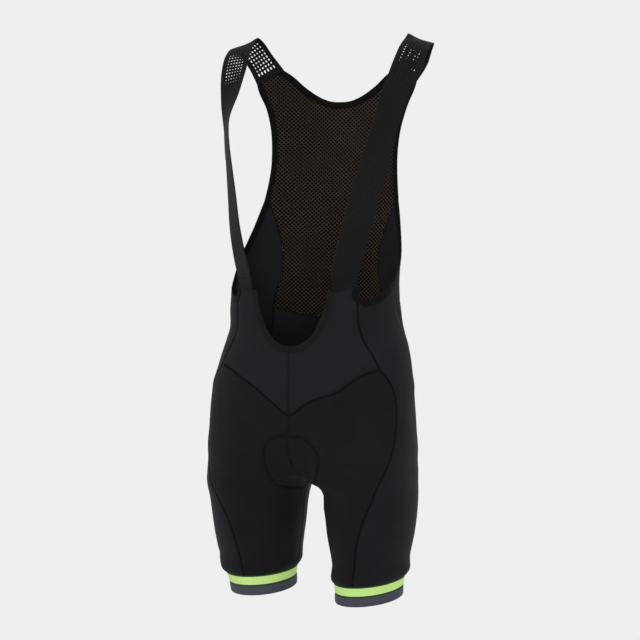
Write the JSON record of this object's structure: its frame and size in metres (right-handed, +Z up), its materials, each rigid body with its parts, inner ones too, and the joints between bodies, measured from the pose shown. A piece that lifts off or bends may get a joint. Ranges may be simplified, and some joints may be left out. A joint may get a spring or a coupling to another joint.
{
  "type": "cycling_bib_shorts",
  "caption": "Close-fitting cycling bib shorts as worn, with wide perforated shoulder straps, mesh back, seat pad and elastic gripper bands at the leg hems",
  "frame": {"origin": "midway between the tops of the two shoulder straps, where a wearer or hanger holds the garment up", "axes": "+Z up along the body, +X toward the wearer's left, -Y toward the front"},
  "size_m": [0.3365, 0.217, 0.8569],
  "materials": {
    "bib_lycra": "matte",
    "leg_lycra": "matte",
    "side_lycra": "matte",
    "back_net": "matte",
    "binding_tape": "matte",
    "strap_elastic": "matte",
    "green_elastic": "matte",
    "grey_gripper": "matte",
    "pad_foam": "matte"
  },
  "bodies": {
    "root": {"front_bib_left": "bib_lycra", "front_bib_right": "bib_lycra", "leg_front_left": "leg_lycra", "leg_front_right": "leg_lycra", "side_panel_left": "side_lycra", "side_panel_right": "side_lycra", "leg_back_left": "leg_lycra", "leg_back_right": "leg_lycra", "back_mesh": "back_net", "armhole_binding_left": "binding_tape", "armhole_binding_right": "binding_tape", "neck_binding_front": "binding_tape", "neck_binding_back": "binding_tape", "strap_left": "strap_elastic", "strap_right": "strap_elastic", "hem_green_left": "green_elastic", "hem_green_right": "green_elastic", "hem_grey_left": "grey_gripper", "hem_grey_right": "grey_gripper", "seat_pad": "pad_foam"}
  },
  "joints": []
}
